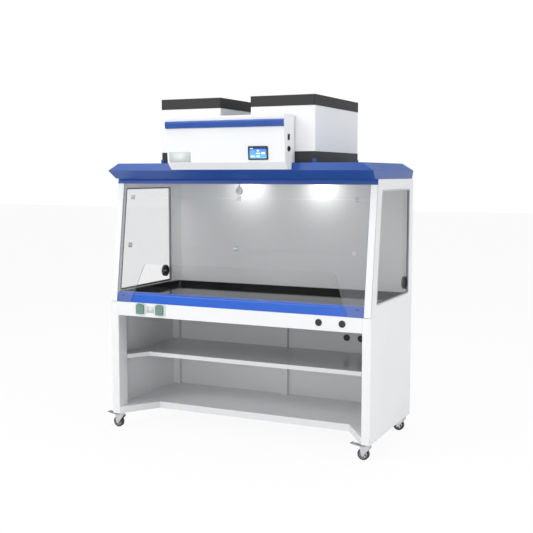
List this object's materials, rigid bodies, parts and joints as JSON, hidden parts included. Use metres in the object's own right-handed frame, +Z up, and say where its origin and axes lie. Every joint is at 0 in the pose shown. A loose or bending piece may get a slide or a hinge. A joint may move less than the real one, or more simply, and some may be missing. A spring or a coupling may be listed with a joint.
{
  "type": "ductless fume hood",
  "caption": "Free-standing ductless fume hood with folding clear sash, black worktop, filter modules on top and a rolling shelf base with a knee recess",
  "frame": {"origin": "on the floor under the middle of the cabinet, where its own mid planes cross", "axes": "+Z up, +X to the right of someone who works at the hood, -Y to the front"},
  "size_m": [1.563, 0.7974, 1.802],
  "materials": {
    "white_steel": "satin white powder coat",
    "shelf_steel": "glossy white powder coat",
    "control_steel": "satin white powder coat",
    "blue_steel": "semi-gloss blue powder coat",
    "black_bands": "satin black powder coat",
    "worktop_black": "glossy black solid resin",
    "clear_panel": "clear polished sheet",
    "black_rubber": "matt black rubber",
    "hinge_metal": "bright plated metal",
    "white_plastic": "glossy white plastic",
    "cover_plastic": "smoked green translucent plastic",
    "grey_plastic": "matt light grey plastic",
    "black_plastic": "matt black plastic",
    "screen": "glossy dark bezel and screen",
    "lamp_diffuser": "opal diffuser",
    "filter_pad": "white fibre pad",
    "carbon": "black carbon granules in a frame",
    "fan_plastic": "matt black moulded plastic",
    "motor_alloy": "cast aluminium",
    "zinc": "bright zinc plate",
    "brake_metal": "bright zinc plate",
    "caster_tyre": "dark grey rubber on a grey hub"
  },
  "bodies": {
    "hood": {"base_deck": "white_steel", "left_base_side": "white_steel", "right_base_side": "white_steel", "back_uprights": "white_steel", "base_back_panel": "white_steel", "front_apron": "white_steel", "shelf_brackets": "white_steel", "left_hood_side": "white_steel", "right_hood_side": "white_steel", "chamber_liner": "white_steel", "hood_back": "white_steel", "side_strips": "white_steel", "ceiling_panel": "white_steel", "module_shells": "white_steel", "middle_shelf": "shelf_steel", "control_box": "control_steel", "canopy": "blue_steel", "front_sill": "blue_steel", "control_trim": "blue_steel", "module_plinths": "black_bands", "module_caps": "black_bands", "worktop": "worktop_black", "side_windows": "clear_panel", "top_sash": "clear_panel", "hood_seals": "black_rubber", "side_grommets": "black_rubber", "sash_bumpers": "black_rubber", "hole_plugs": "black_rubber", "top_sash_hinges": "hinge_metal", "socket_frames": "white_plastic", "sensor_head": "grey_plastic", "side_fittings": "black_plastic", "display": "screen", "lamps": "lamp_diffuser", "prefilters": "filter_pad", "carbon_filters": "carbon", "fan_motors": "motor_alloy", "caster_plates": "zinc"},
    "middle_panel": {"middle_sash": "clear_panel", "middle_sash_hinges": "hinge_metal"},
    "bottom_panel": {"bottom_sash": "clear_panel", "bottom_sash_hinges": "hinge_metal"},
    "left_cover": {"left_socket_cover": "cover_plastic"},
    "right_cover": {"right_socket_cover": "cover_plastic"},
    "rocker": {"switch_rocker": "black_plastic"},
    "left_impeller": {"left_fan": "fan_plastic"},
    "right_impeller": {"right_fan": "fan_plastic"},
    "left_front_swivel": {"left_front_fork": "zinc"},
    "left_front_roller": {"left_front_wheel": "caster_tyre"},
    "left_front_pedal": {"left_front_brake": "brake_metal"},
    "left_back_swivel": {"left_back_fork": "zinc"},
    "left_back_roller": {"left_back_wheel": "caster_tyre"},
    "left_back_pedal": {"left_back_brake": "brake_metal"},
    "right_front_swivel": {"right_front_fork": "zinc"},
    "right_front_roller": {"right_front_wheel": "caster_tyre"},
    "right_front_pedal": {"right_front_brake": "brake_metal"},
    "right_back_swivel": {"right_back_fork": "zinc"},
    "right_back_roller": {"right_back_wheel": "caster_tyre"},
    "right_back_pedal": {"right_back_brake": "brake_metal"}
  },
  "joints": [
    {"name": "middle_panel_hinge", "type": "hinge", "parent": "hood", "child": "middle_panel", "pos_m": [0, -0.27171, 1.28644], "axis": [-1, 0, 0], "range_deg": [0, 90]},
    {"name": "bottom_panel_hinge", "type": "hinge", "parent": "middle_panel", "child": "bottom_panel", "pos_m": [0, -0.30663, 1.02644], "axis": [-1, 0, 0], "range_deg": [0, 90]},
    {"name": "left_cover_hinge", "type": "hinge", "parent": "hood", "child": "left_cover", "pos_m": [-0.56, -0.3495, 0.7108], "axis": [-1, 0, 0], "range_deg": [0, 110]},
    {"name": "right_cover_hinge", "type": "hinge", "parent": "hood", "child": "right_cover", "pos_m": [-0.438, -0.3495, 0.7108], "axis": [-1, 0, 0], "range_deg": [0, 110]},
    {"name": "rocker_pivot", "type": "hinge", "parent": "hood", "child": "rocker", "pos_m": [0.3285, -0.384, 1.592], "axis": [0, 1, 0], "range_deg": [-8, 8]},
    {"name": "left_impeller_shaft", "type": "hinge", "parent": "hood", "child": "left_impeller", "pos_m": [-0.262, 0.01, 1.74], "axis": [0, 0, 1], "continuous": true},
    {"name": "right_impeller_shaft", "type": "hinge", "parent": "hood", "child": "right_impeller", "pos_m": [0.262, 0.01, 1.74], "axis": [0, 0, 1], "continuous": true},
    {"name": "left_front_kingpin", "type": "hinge", "parent": "hood", "child": "left_front_swivel", "pos_m": [-0.723, -0.297, 0.07], "axis": [0, 0, 1], "continuous": true},
    {"name": "left_front_axle", "type": "hinge", "parent": "left_front_swivel", "child": "left_front_roller", "pos_m": [-0.743, -0.297, 0.03], "axis": [0, 1, 0], "continuous": true},
    {"name": "left_front_brake_pin", "type": "hinge", "parent": "left_front_swivel", "child": "left_front_pedal", "pos_m": [-0.753, -0.297, 0.066], "axis": [0, -1, 0], "range_deg": [0, 15]},
    {"name": "left_back_kingpin", "type": "hinge", "parent": "hood", "child": "left_back_swivel", "pos_m": [-0.723, 0.297, 0.07], "axis": [0, 0, 1], "continuous": true},
    {"name": "left_back_axle", "type": "hinge", "parent": "left_back_swivel", "child": "left_back_roller", "pos_m": [-0.743, 0.297, 0.03], "axis": [0, 1, 0], "continuous": true},
    {"name": "left_back_brake_pin", "type": "hinge", "parent": "left_back_swivel", "child": "left_back_pedal", "pos_m": [-0.753, 0.297, 0.066], "axis": [0, -1, 0], "range_deg": [0, 15]},
    {"name": "right_front_kingpin", "type": "hinge", "parent": "hood", "child": "right_front_swivel", "pos_m": [0.723, -0.297, 0.07], "axis": [0, 0, 1], "continuous": true},
    {"name": "right_front_axle", "type": "hinge", "parent": "right_front_swivel", "child": "right_front_roller", "pos_m": [0.703, -0.297, 0.03], "axis": [0, 1, 0], "continuous": true},
    {"name": "right_front_brake_pin", "type": "hinge", "parent": "right_front_swivel", "child": "right_front_pedal", "pos_m": [0.693, -0.297, 0.066], "axis": [0, -1, 0], "range_deg": [0, 15]},
    {"name": "right_back_kingpin", "type": "hinge", "parent": "hood", "child": "right_back_swivel", "pos_m": [0.723, 0.297, 0.07], "axis": [0, 0, 1], "continuous": true},
    {"name": "right_back_axle", "type": "hinge", "parent": "right_back_swivel", "child": "right_back_roller", "pos_m": [0.703, 0.297, 0.03], "axis": [0, 1, 0], "continuous": true},
    {"name": "right_back_brake_pin", "type": "hinge", "parent": "right_back_swivel", "child": "right_back_pedal", "pos_m": [0.693, 0.297, 0.066], "axis": [0, -1, 0], "range_deg": [0, 15]}
  ]
}
